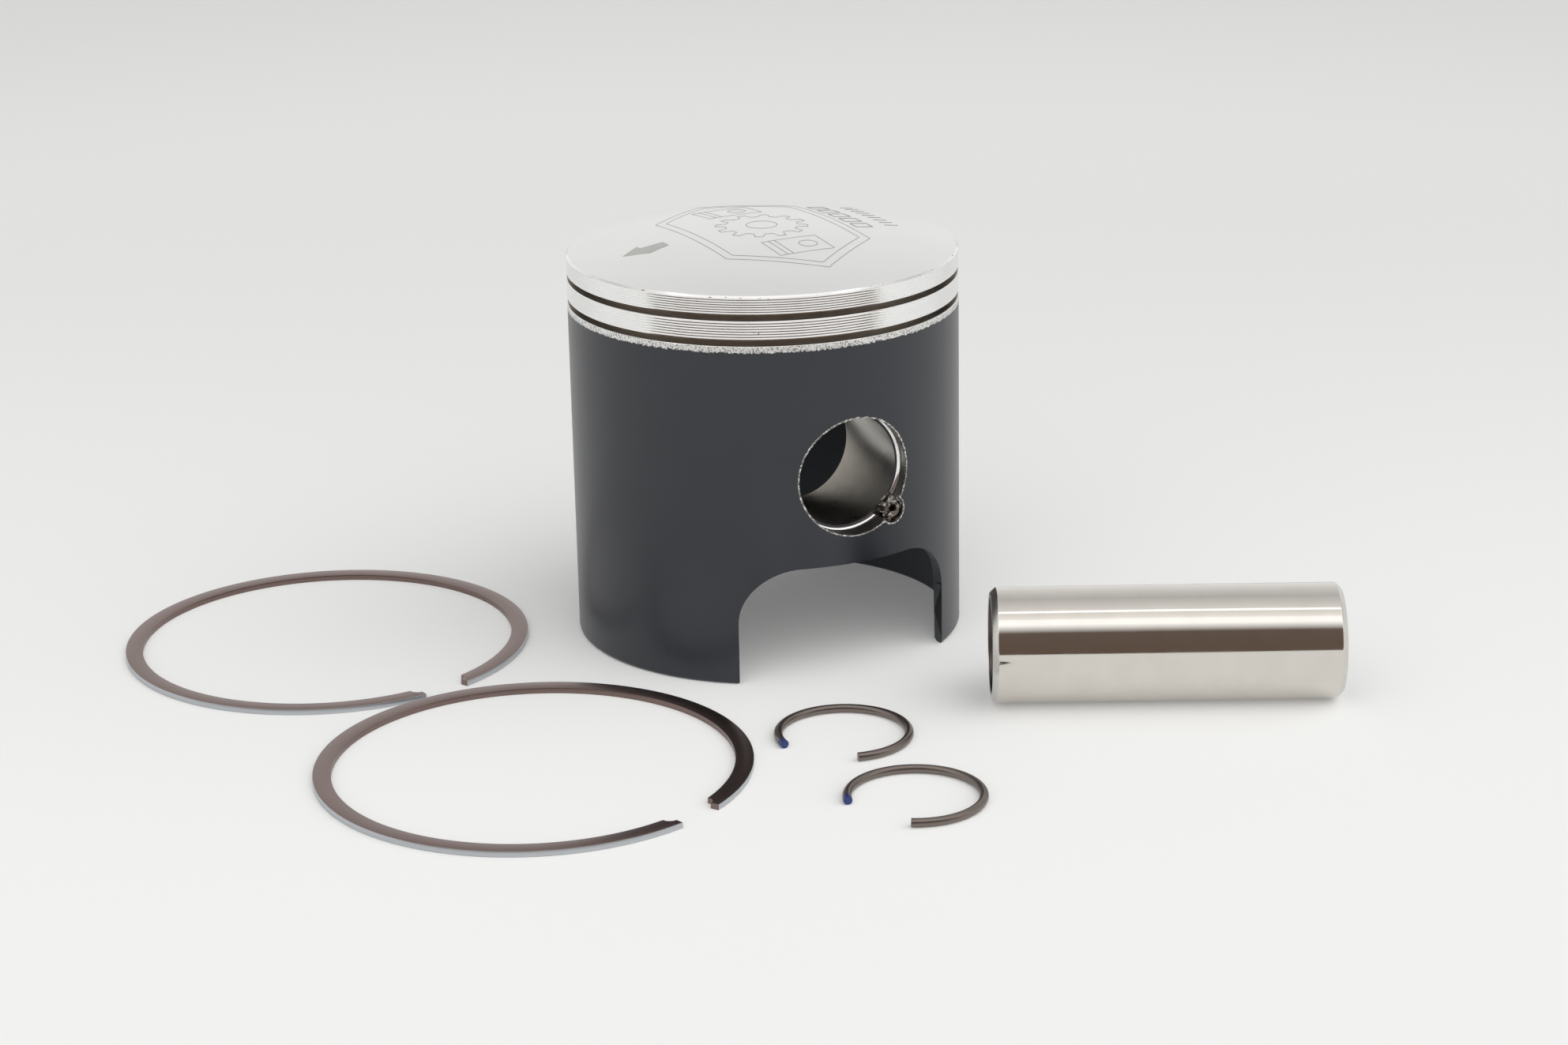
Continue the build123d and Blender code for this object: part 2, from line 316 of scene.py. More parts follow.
def faced_aluminium():
    # The crown, faced in the lathe and lightly blasted. Even satin grey with a 0.2 mm grain.
    material, tree, shader, mm = start_material("faced_aluminium", Metallic=1.0)
    grain = add(tree, "ShaderNodeTexNoise", {"Vector": mm, "Scale": 5.0, "Detail": 3.0})
    cloud = add(tree, "ShaderNodeTexNoise", {"Vector": mm, "Scale": 0.07, "Detail": 2.0})
    set_finish(tree, shader, (cloud.outputs[0], "#ededeb", "#f3f3f1"),
               (grain.outputs[0], 0.3, 0.42), (grain.outputs[0], 0.004))
    return material


def bare_of_coating(tree, s, mm, wander):
    """A mask of the places where the coating is cut through: the ring belt and the bore's rim."""
    height = add(tree, "ShaderNodeSeparateXYZ", {0: mm}).outputs["Z"]
    # How far above the coating's edge, in millimetres
    swing = add(tree, "ShaderNodeMath", {0: wander, 1: 3.0 * s.coat_wander / MM},
                operation="MULTIPLY")
    above = add(tree, "ShaderNodeMath", {0: height, 1: s.coat_edge / MM}, operation="SUBTRACT")
    ring_side = add(tree, "ShaderNodeMath", {0: above.outputs[0], 1: swing.outputs[0]})
    # How far inside the bare rim of the pin bore, or of the notch beside it
    flat = add(tree, "ShaderNodeVectorMath", {0: mm, 1: (1.0, 0.0, 1.0)}, operation="MULTIPLY")
    from_bore = add(tree, "ShaderNodeVectorMath", {0: flat.outputs[0]}, operation="LENGTH")
    bore_gap = add(tree, "ShaderNodeMath", {0: from_bore.outputs["Value"],
                                            1: BORE_MOUTH_RADIUS / MM}, operation="SUBTRACT")
    from_notch = add(tree, "ShaderNodeVectorMath",
                     {0: flat.outputs[0], 1: (NOTCH_X / MM, 0.0, NOTCH_Z / MM)},
                     operation="DISTANCE")
    notch_gap = add(tree, "ShaderNodeMath", {0: from_notch.outputs["Value"],
                                             1: NOTCH_RADIUS / MM}, operation="SUBTRACT")
    gap = add(tree, "ShaderNodeMath", {0: bore_gap.outputs[0], 1: notch_gap.outputs[0]},
              operation="MINIMUM")
    rim = add(tree, "ShaderNodeMath", {0: s.burr_width / MM, 1: gap.outputs[0]},
              operation="SUBTRACT")
    rim_swing = add(tree, "ShaderNodeMath", {0: wander, 1: 0.5}, operation="MULTIPLY")
    rim_side = add(tree, "ShaderNodeMath", {0: rim.outputs[0], 1: rim_swing.outputs[0]})
    bare = add(tree, "ShaderNodeMath", {0: ring_side.outputs[0], 1: rim_side.outputs[0]},
               operation="MAXIMUM")
    mask = add(tree, "ShaderNodeMapRange", {"Value": bare.outputs[0], "From Min": -0.03,
                                            "From Max": 0.03})
    return mask.outputs[0]


def graphite_coating(s):
    # Graphite-filled resin sprayed on the skirt, then the ring belt and the pin bore cut through
    # it. Matte slate with a fine grain. It ends in a ragged line over rough bare metal.
    material, tree, shader, mm = start_material("graphite_coating", IOR=1.58)
    grain = add(tree, "ShaderNodeTexNoise", {"Vector": mm, "Scale": 6.0, "Detail": 3.0})
    cloud = add(tree, "ShaderNodeTexNoise", {"Vector": mm, "Scale": 0.09, "Detail": 3.0})
    ragged = add(tree, "ShaderNodeTexNoise", {"Vector": mm, "Scale": 2.3, "Detail": 5.0,
                                              "Roughness": 0.7})
    wander = add(tree, "ShaderNodeMath", {0: ragged.outputs[0], 1: 0.5}, operation="SUBTRACT")
    bare = bare_of_coating(tree, s, mm, wander.outputs[0])
    # The bare strip keeps dark flecks of coating in its pits
    fleck = add(tree, "ShaderNodeTexNoise", {"Vector": mm, "Scale": 4.5, "Detail": 2.0})
    fleck_mask = add(tree, "ShaderNodeMapRange", {"Value": fleck.outputs[0], "From Min": 0.4,
                                                  "From Max": 0.5})
    metal = add(tree, "ShaderNodeMix", {"Factor": fleck_mask.outputs[0], "A": linear("#a3a19c"),
                                        "B": s.aluminium}, data_type="RGBA")
    coat = add(tree, "ShaderNodeMix", {"Factor": cloud.outputs[0], "A": s.coating,
                                       "B": linear("#1a1e27")}, data_type="RGBA")
    tone = add(tree, "ShaderNodeMix", {"Factor": bare, "A": coat.outputs["Result"],
                                       "B": metal.outputs["Result"]}, data_type="RGBA")
    coat_shine = add(tree, "ShaderNodeMapRange", {"Value": grain.outputs[0], "To Min": 0.27,
                                                  "To Max": 0.38})
    shine = add(tree, "ShaderNodeMix", {"Factor": bare, "A": coat_shine.outputs[0], "B": 0.34})
    coat_bump = add(tree, "ShaderNodeBump", {"Height": grain.outputs[0],
                                             "Distance": 0.004 * MM})
    pits = add(tree, "ShaderNodeMath", {0: fleck.outputs[0], 1: bare}, operation="MULTIPLY")
    bump = add(tree, "ShaderNodeBump", {"Height": pits.outputs[0], "Distance": 0.12 * MM,
                                        "Normal": coat_bump.outputs[0]})
    tree.links.new(tone.outputs["Result"], shader.inputs["Base Color"])
    tree.links.new(bare, shader.inputs["Metallic"])
    tree.links.new(shine.outputs["Result"], shader.inputs["Roughness"])
    tree.links.new(bump.outputs[0], shader.inputs["Normal"])
    return material


def coated_inside():
    # The same coating inside the piston, thinner and over a forged skin. Darker and duller.
    material, tree, shader, mm = start_material("coated_inside")
    grain = add(tree, "ShaderNodeTexNoise", {"Vector": mm, "Scale": 2.5, "Detail": 4.0}).outputs[0]
    set_finish(tree, shader, (grain, "#2e3136", "#3c3f44"), (grain, 0.5, 0.65), (grain, 0.012))
    return material


def bored_aluminium():
    # The wrist-pin bore, bored and honed. Smooth grey with rings 0.2 mm apart round its axis.
    material, tree, shader, mm = start_material("bored_aluminium", Metallic=1.0)
    rings = streaks(tree, mm, (0.08, 5.0, 0.08), 3.0)
    smear = add(tree, "ShaderNodeTexNoise", {"Vector": mm, "Scale": 0.35, "Detail": 2.0})
    set_finish(tree, shader, (smear.outputs[0], "#cac5be", "#e2dfda"),
               (smear.outputs[0], 0.24, 0.34), (rings, 0.002))
    return material


def torn_aluminium(name, facets, dull_and_shade):
    # Metal torn by a drill and left with its burr. Rough facets with a bump of their own, some
    # painted near white as painted glints.
    material, tree, shader, mm = start_material(name, Metallic=1.0)
    shards = add(tree, "ShaderNodeTexVoronoi", {"Vector": mm, "Scale": facets})
    grain = add(tree, "ShaderNodeTexNoise", {"Vector": mm, "Scale": 5.0, "Detail": 3.0})
    facet = add(tree, "ShaderNodeSeparateColor", {0: shards.outputs["Color"]})
    # Painted glints: random facets take the near-white tone
    painted_glint_facets = add(tree, "ShaderNodeMapRange", {"Value": facet.outputs[0], "From Min": 0.45,
                                              "From Max": 0.8})
    set_finish(tree, shader, (painted_glint_facets.outputs[0], dull_and_shade, "#f4f3f1"), (grain.outputs[0], 0.12, 0.4),
               (shards.outputs["Distance"], 0.1))
    return material


def groove_aluminium_painted_shade():
    # The ring grooves, parted off with a narrow tool. Dull brown-grey, darkened as painted shade,
    # for little light gets in.
    material, tree, shader, mm = start_material("groove_aluminium_painted_shade", Metallic=1.0, Roughness=0.36)
    lines = streaks(tree, mm, (0.2, 0.2, 6.0), 2.0)
    set_finish(tree, shader, (lines, "#b9b1a9", "#cfc8c0"), relief=(lines, 0.005))
    return material


# ---------------------------------------------------------------- piston shape
def groove_middles():
    """Heights of the two ring grooves, first groove first, from the pegs that stand in them."""
    pegs = [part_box(peg) for peg in ("first_ring_peg", "second_ring_peg")]
    return [(low.z + high.z) / 2 for low, high in pegs]


def cut_ridges(bm, low, high, pitch, depth):
    """Turn fine ridges into the outside of one ring land."""
    count = max(1, round((high - low) / pitch))
    steps = 4 * count
    band = []
    for face in bm.faces:
        middle = face.calc_center_median()
        outside = hypot(middle.x, middle.y) > LAND_RADIUS - TOUCH and abs(face.normal.z) < 0.05
        if outside and low < middle.z < high:
            band.append(face)
    for step in range(1, steps):
        height = low + (high - low) * step / steps
        geometry = list(band)
        geometry += list({edge for face in band for edge in face.edges})
        geometry += list({vert for face in band for vert in face.verts})
        cut = bmesh.ops.bisect_plane(bm, geom=geometry, dist=WELD, plane_co=(0, 0, height),
                                     plane_no=(0, 0, 1))
        band = [part for part in cut["geom"] if isinstance(part, bmesh.types.BMFace)]
    for vert in {vert for face in band for vert in face.verts}:
        phase = ((vert.co.z - low) / (high - low) * count) % 1
        radius = hypot(vert.co.x, vert.co.y)
        sunk = depth * (1 - (2 * phase - 1) ** 2)
        vert.co.x *= (radius - sunk) / radius
        vert.co.y *= (radius - sunk) / radius


def piston_finish(face, lands_start):
    """Which finish a face of the piston has, by where it is and how it faces."""
    flat = 0.9
    middle = face.calc_center_median()
    normal = face.normal
    radius = hypot(middle.x, middle.y)
    from_bore = hypot(middle.x, middle.z)
    from_notch = hypot(middle.x - NOTCH_X, middle.z - NOTCH_Z)
    inward = -(normal.x * middle.x + normal.z * middle.z) / max(from_bore, WELD)
    under_the_skin = radius < SKIRT_RADIUS - 0.07 * MM
    in_notch = (from_notch < NOTCH_RADIUS + TOUCH and abs(middle.y) > NOTCH_FLOOR
                and under_the_skin)
    if in_notch and (from_bore > BORE_MOUTH_RADIUS + TOUCH or abs(normal.y) > flat):
        return TORN
    if from_bore < BORE_WIDEST and inward > 0.3 and abs(middle.y) > BOSS_START:
        return BORED if abs(normal.y) < 0.05 else TURNED
    by_the_crown = middle.z > CROWN_EDGE - 0.5 * MM
    side_face = normal.z < flat or middle.z < CROWN_EDGE - 0.75 * MM
    if middle.z > lands_start and radius > GROOVE_ROOT and side_face:
        on_land = radius > LAND_RADIUS - 0.15 * MM or by_the_crown
        return TURNED if on_land else GROOVED
    if by_the_crown and normal.z > 0.5:
        return FACED
    if radius > SKIRT_RADIUS - FOOT_COAT and (abs(normal.z) < 0.99 or middle.z > 0):
        return COAT
    return INSIDE


class PISTON_OT_body(Operator):
    """Piston with turned lands, coated skirt and drilled bore"""
    bl_idname = "piston_set.body"
    bl_label = "Piston"

    def execute(self, context):
        s = context.scene.piston_settings
        mesh = frame["nodes"]["piston_body"].data.copy()
        mesh.attributes.remove(mesh.attributes["custom_normal"])
        bm = bmesh.new()
        bm.from_mesh(mesh)
        bpy.data.meshes.remove(mesh)
        bmesh.ops.remove_doubles(bm, verts=bm.verts, dist=WELD)
        for layer in list(bm.loops.layers.uv.values()):
            bm.loops.layers.uv.remove(layer)
        first_groove, second_groove = groove_middles()
        for face in bm.faces:
            face.material_index = piston_finish(face, second_groove - GROOVE_LIP)
        for low, high in ((first_groove + GROOVE_LIP, CROWN_EDGE - EDGE_CHAMFER),
                          (second_groove + GROOVE_LIP, first_groove - GROOVE_LIP)):
            cut_ridges(bm, low, high, s.ridge_pitch, s.ridge_depth)
        # The drilled notch keeps its torn facets, and its dark brown-grey tone is painted shade
        # for the depth of the hole
        finishes = [graphite_coating(s), coated_inside(), turned_aluminium(s),
                    faced_aluminium(), bored_aluminium(),
                    torn_aluminium("drilled_aluminium", 1.4, "#4a4540"), groove_aluminium_painted_shade()]
        finish_piece(bm, "piston", "piston", finishes, ["piston_body"],
                     round_normal=self.wall_normal)
        return {"FINISHED"}

    def wall_normal(self, face, place):
        """Exact normal of the skirt's outside or of the bore's wall; None anywhere else."""
        square_on = 0.03
        upright = abs(face.normal.z) < square_on
        if face.material_index == COAT and upright and place.z < COATED_HEIGHT:
            return Vector((place.x, place.y, 0)).normalized()
        if face.material_index == BORED and abs(face.normal.y) < square_on:
            return -Vector((place.x, 0, place.z)).normalized()
        return None


def bore_outline(angle):
    """Distance from the pin axis to the edge of the bore and its notch, in one direction."""
    along = BORE_MOUTH_RADIUS * cos(angle - NOTCH_DIRECTION)
    inside = NOTCH_RADIUS ** 2 - BORE_MOUTH_RADIUS ** 2 + along ** 2
    if inside <= 0 or along < 0:
        return BORE_MOUTH_RADIUS
    return max(BORE_MOUTH_RADIUS, along + sqrt(inside))


class PISTON_OT_bore_edges(Operator):
    """Broken, burred edge of bare metal around both ends of the pin bore"""
    bl_idname = "piston_set.bore_edges"
    bl_label = "Bore edges"

    def execute(self, context):
        s = context.scene.piston_settings
        # Its near-white facets are painted glints on the burr
        finish = torn_aluminium("torn_aluminium_edge", 3.2, "#8f8b86")
        corners = 720
        upper_rough = 2.2    # the drill tears the upper part of the rim this much more
        # Each ring of the section: how far out from the bore's edge and from the skirt, and
        # how rough, in millimetres
        section = ((-0.04, -0.3, 0.02), (-0.03, 0.0, 0.04), (0.05, 0.04, 0.04),
                   (s.burr_width / MM, 0.015, 0.07), (s.burr_width / MM, -0.12, 0.05))
        for side, name in ((-1, "bore_edge_near"), (1, "bore_edge_far")):
            draw = random.Random(11 + side)
            bm = bmesh.new()
            loops = [bmesh.ops.create_circle(bm, segments=corners, radius=1.0)["verts"]]
            edges = list(bm.edges)
            first_edges = list(edges)
            for _ in section[1:]:
                grown = bmesh.ops.extrude_edge_only(bm, edges=edges)["geom"]
                edges = [part for part in grown if isinstance(part, bmesh.types.BMEdge)
                         and part.is_boundary]
                loops.append([part for part in grown if isinstance(part, bmesh.types.BMVert)])
            bmesh.ops.bridge_loops(bm, edges=first_edges + edges)
            for loop, (outward, proud, rough) in zip(loops, section):
                for vert in loop:
                    angle = atan2(vert.co.y, vert.co.x)
                    bite = draw.uniform(-1, 1) * rough * (upper_rough if vert.co.y > 0.6 else 1.0)
                    reach = bore_outline(angle) + (outward + bite) * MM
                    x = reach * cos(angle)
                    z = reach * sin(angle)
                    lift = (proud + draw.uniform(-0.4, 0.4) * rough) * MM
                    y = sqrt(SKIRT_RADIUS ** 2 - x ** 2) + lift
                    vert.co = (x, side * y, z)
            finish_piece(bm, name, "piston", [finish])
        return {"FINISHED"}


class PISTON_OT_pegs(Operator):
    """Locating pegs that keep the rings from turning"""
    bl_idname = "piston_set.pegs"
    bl_label = "Locating pegs"

    def execute(self, context):
        # Hardened steel rod, drawn and cut. Grey, with faint draw lines.
        material, tree, shader, mm = start_material("hardened_steel_rod", Metallic=1.0)
        grain = add(tree, "ShaderNodeTexNoise", {"Vector": mm, "Scale": 6.0, "Detail": 2.0})
        set_finish(tree, shader, (grain.outputs[0], "#8c8a87", "#a8a6a2"),
                   (grain.outputs[0], 0.25, 0.4))
        peg_length = 4.0 * MM
        for node, name in (("first_ring_peg", "first_peg"), ("second_ring_peg", "second_peg")):
            low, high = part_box(node)
            middle = (low + high) / 2
            bm = bmesh.new()
            radius = (high.z - low.z) / 2
            bmesh.ops.create_cone(bm, cap_ends=True, segments=40, radius1=radius, radius2=radius,
                                  depth=peg_length)
            rims = [edge for edge in bm.edges if any(len(f.verts) > 4 for f in edge.link_faces)]
            bmesh.ops.bevel(bm, geom=rims, offset=0.12 * MM, segments=3, profile=0.5,
                            affect="EDGES", material=-1)
            turn = Vector((middle.x, middle.y, 0)).to_track_quat("Z", "Y").to_matrix().to_4x4()
            bmesh.ops.transform(bm, matrix=Matrix.Translation(middle) @ turn, verts=bm.verts)
            finish_piece(bm, name, "piston", [material], [node])
        return {"FINISHED"}


# ---------------------------------------------------------------- crown marks
def scribe(strokes, name, width, material):
    """Lay thin lines on the dome, one for each stroke of (x, y) points in millimetres."""
    shape = bpy.data.curves.new(name, "CURVE")
    shape.dimensions = "3D"
    # A round wire sunk into the crown, so that only a flat sliver as wide as the line shows
    wire = width * 0.62
    shape.bevel_depth = wire
    shape.bevel_resolution = 2
    shape.use_fill_caps = True
    sunk = sqrt(wire ** 2 - (width / 2) ** 2)
    for points, closed in strokes:
        spline = shape.splines.new("POLY")
        spline.points.add(len(points) - 1)
        spline.use_cyclic_u = closed
        for point, (x, y) in zip(spline.points, points):
            point.co = (x * MM, y * MM, dome_height(x * MM, y * MM) - sunk, 1.0)
    holder = bpy.data.objects.new(name + "_lines", shape)
    bpy.context.scene.collection.objects.link(holder)
    bpy.context.view_layer.update()
    evaluated = holder.evaluated_get(bpy.context.evaluated_depsgraph_get())
    mesh = bpy.data.meshes.new_from_object(evaluated)
    bm = bmesh.new()
    bm.from_mesh(mesh)
    bpy.data.objects.remove(holder)
    bpy.data.meshes.remove(mesh)
    bpy.data.curves.remove(shape)
    finish_piece(bm, name, "piston", [material])


def divide(corners, step=0.8, closed=True):
    """Points along straight sides, about one step apart, in millimetres."""
    ends = corners[1:] + corners[:1] if closed else corners[1:]
    points = []
    for (x0, y0), (x1, y1) in zip(corners, ends):
        count = max(1, ceil(hypot(x1 - x0, y1 - y0) / step))
        points += [(x0 + (x1 - x0) * n / count, y0 + (y1 - y0) * n / count) for n in range(count)]
    if not closed:
        points.append(corners[-1])
    return points


def ring_of(x, y, radius, count=40):
    """Points round a circle, in millimetres."""
    return [(x + radius * cos(2 * pi * n / count), y + radius * sin(2 * pi * n / count))
            for n in range(count)]


class PISTON_OT_marks(Operator):
    """Etched arrow, a plain six-sided badge and two rows of tallies on the crown"""
    bl_idname = "piston_set.marks"
    bl_label = "Crown marks"

    def execute(self, context):
        s = context.scene.mark_settings
        # Lines scratched by a hard point. They read darker than the satin crown.
        scribed, tree, shader, mm = start_material("scribed_line", Metallic=1.0, Roughness=0.5)
        grain = add(tree, "ShaderNodeTexNoise", {"Vector": mm, "Scale": 1.5, "Detail": 2.0})
        set_finish(tree, shader, (grain.outputs[0], s.scribed, "#b2b2b0"))
        scribe(self.badge_strokes(s), "crown_badge", s.line_width, scribed)
        scribe(self.tally_strokes(), "crown_tallies", 1.6 * s.line_width, scribed)
        self.etch_arrow(s)
        return {"FINISHED"}

    def badge_strokes(self, s):
        """A six-sided badge of two outlines with a toothed wheel between two plain pistons."""
        half_long = s.badge_length / 2 / MM
        half_wide = s.badge_width / 2 / MM
        border = 1.3
        strokes = []
        for inset in (0.0, border):
            long, wide = half_long - 1.4 * inset, half_wide - inset
            shoulder = long - 0.8 * wide
            corners = [(0, long), (wide, shoulder), (wide, -shoulder),
                       (0, -long), (-wide, -shoulder), (-wide, shoulder)]
            strokes.append((divide(corners), True))
        teeth = 12
        root, tip = 5.2, 6.6
        wheel = []
        for tooth in range(teeth):
            for part, reach in ((-0.3, root), (-0.16, tip), (0.16, tip), (0.3, root)):
                angle = 2 * pi * (tooth + part) / teeth
                wheel.append((reach * cos(angle), reach * sin(angle)))
        strokes.append((divide(wheel), True))
        strokes.append((ring_of(0, 0, 2.2), True))
        for y in (-11.2, 11.2):
            near, far = y - 3, y + 3
            strokes.append((divide([(-4.2, near), (4.2, near), (4.2, far), (-4.2, far)]), True))
            strokes.append((ring_of(1.6, y, 1.3, 24), True))
            for groove in (-3.1, -2.2):
                strokes.append((divide([(groove, near), (groove, far)], closed=False), False))
        return strokes

    def tally_strokes(self):
        """A row of five boxes and a row of nine bars."""
        tallies = []
        for place in range(5):
            y = -5.6 + 3.3 * place
            box = [(12.3, y), (14.9, y), (14.9, y + 2.0), (12.3, y + 2.0)]
            tallies.append((divide(box), True))
        for place in range(9):
            y = -4.6 + 1.7 * place
            tallies.append((divide([(17.4, y), (19.5, y)], closed=False), False))
        return tallies

    def etch_arrow(self, s):
        """The arrow that points to the exhaust side."""
        # Acid-etched patch. A shade duller and darker than the crown around it.
        etched, tree, shader, mm = start_material("etched_arrow", Metallic=1.0)
        grain = add(tree, "ShaderNodeTexNoise", {"Vector": mm, "Scale": 5.0, "Detail": 2.0})
        set_finish(tree, shader, (grain.outputs[0], s.etched, "#cfcfcc"),
                   (grain.outputs[0], 0.5, 0.62))
        outline = [(-14.9, -0.6), (-14.9, 1.4), (-18.4, 1.5), (-18.4, 2.6), (-21.6, 0.45),
                   (-18.4, -1.7), (-18.4, -0.6)]
        bm = bmesh.new()
        face = bm.faces.new([bm.verts.new((x * MM, y * MM, 0)) for x, y in outline])
        bmesh.ops.triangulate(bm, faces=[face])
        bmesh.ops.subdivide_edges(bm, edges=bm.edges, cuts=5, use_grid_fill=True)
        thickness = 0.06 * MM
        proud = 0.012 * MM
        grown = bmesh.ops.extrude_face_region(bm, geom=list(bm.faces))["geom"]
        upper = {part for part in grown if isinstance(part, bmesh.types.BMVert)}
        for vert in bm.verts:
            vert.co.z = dome_height(vert.co.x, vert.co.y) + proud
            if vert not in upper:
                vert.co.z -= thickness
        finish_piece(bm, "crown_arrow", "piston", [etched])


# ---------------------------------------------------------------- rings
def nitrided_steel(s):
    # Gas-nitrided steel. A brown-mauve skin, satin, a little warmer in places.
    material, tree, shader, mm = start_material("nitrided_steel", Metallic=1.0)
    grain = add(tree, "ShaderNodeTexNoise", {"Vector": mm, "Scale": 4.0, "Detail": 3.0})
    cloud = add(tree, "ShaderNodeTexNoise", {"Vector": mm, "Scale": 0.12, "Detail": 2.0})
    set_finish(tree, shader, (cloud.outputs[0], s.nitrided, "#877570"),
               (grain.outputs[0], 0.28, 0.42), (grain.outputs[0], 0.004))
    return material


def lapped_face(s):
    # The running face, lapped after nitriding. Silver grey, with fine lines along the ring.
    material, tree, shader, mm = start_material("lapped_steel_face", Metallic=1.0)
    lines = streaks(tree, mm, (0.3, 0.3, 9.0), 3.0)
    set_finish(tree, shader, (lines, "#b4b7bb", s.face), (lines, 0.3, 0.45), (lines, 0.005))
    return material


def spin_parts(bm, geometry, centre, arcs):
    """Spin a section through several arcs, each of (angle, steps), and return its last place."""
    for angle, steps in arcs:
        turned = bmesh.ops.spin(bm, geom=geometry, cent=centre, axis=(0, 0, 1), dvec=(0, 0, 0),
                                angle=angle, steps=steps, use_duplicate=False)
        geometry = turned["geom_last"]
    return geometry


class PISTON_OT_rings(Operator):
    """Compression rings with a lapped face and a peg notch at each end"""
    bl_idname = "piston_set.rings"
    bl_label = "Compression rings"

    def execute(self, context):
        s = context.scene.ring_settings
        finishes = [nitrided_steel(s), lapped_face(s)]
        for node, name, opening in (("first_ring", "upper_compression_ring", radians(-75.3)),
                                    ("second_ring", "lower_compression_ring", radians(-66.1))):
            low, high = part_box(node)
            centre = Vector(((low.x + high.x) / 2, (low.y + high.y) / 2, low.z))
            outer = (high.x - low.x) / 2
            self.make_ring(s, finishes, node, name, opening, centre, outer, high.z - low.z)
        return {"FINISHED"}

    def make_ring(self, s, finishes, node, name, opening, centre, outer, height):
        inner = outer - s.ring_width
        start = opening + s.gap / 2
        end_arc = asin(s.notch / inner)
        whole = 2 * pi - s.gap
        bm = bmesh.new()
        bmesh.ops.create_grid(bm, x_segments=1, y_segments=1, size=0.5)
        bmesh.ops.scale(bm, vec=(s.ring_width, height, 1), verts=bm.verts)
        bmesh.ops.bevel(bm, geom=list(bm.verts), offset=s.edge_break, segments=2, profile=0.5,
                        affect="VERTICES", material=-1)
        stand = (Matrix.Translation(centre + Vector((0, 0, height / 2)))
                 @ Matrix.Rotation(start, 4, "Z")
                 @ Matrix.Translation(((inner + outer) / 2, 0, 0))
                 @ Matrix.Rotation(pi / 2, 4, "X"))
        bmesh.ops.transform(bm, matrix=stand, verts=bm.verts)
        section = list(bm.verts) + list(bm.edges) + list(bm.faces)
        spin_parts(bm, section, centre,
                   ((end_arc, 16), (whole - 2 * end_arc, 240), (end_arc, 16)))
        # The peg notch: near each end the inner wall follows a circle about the end's corner
        middle_line = (inner + outer) / 2
        for vert in bm.verts:
            out = Vector((vert.co.x - centre.x, vert.co.y - centre.y, 0))
            turned = (atan2(out.y, out.x) - start + s.gap / 2) % (2 * pi) - s.gap / 2
            from_end = min(abs(turned), abs(whole - turned))
            reach = inner * from_end
            if out.length < middle_line and reach < s.notch:
                shift = sqrt(s.notch ** 2 - reach ** 2)
                vert.co += out.normalized() * shift
        bmesh.ops.remove_doubles(bm, verts=bm.verts, dist=WELD)
        bmesh.ops.recalc_face_normals(bm, faces=bm.faces)
        for face in bm.faces:
            middle = face.calc_center_median() - centre
            outward = Vector((middle.x, middle.y, 0)).normalized()
            outside = face.normal.dot(outward) > 0.3 and middle.xy.length > middle_line
            face.material_index = 1 if outside else 0
        finish_piece(bm, name, "loose_" + node, finishes, [node])


# ---------------------------------------------------------------- wrist pin
def pin_frame():
    """Middle of the wrist pin, and its direction, from the record's own mount."""
    low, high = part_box("wrist_pin")
    mount = next(m for m in frame["record"]["mounts"] if m["name"] == "wrist_pin_outside")
    return (low + high) / 2, Vector(mount["axis"]).normalized()


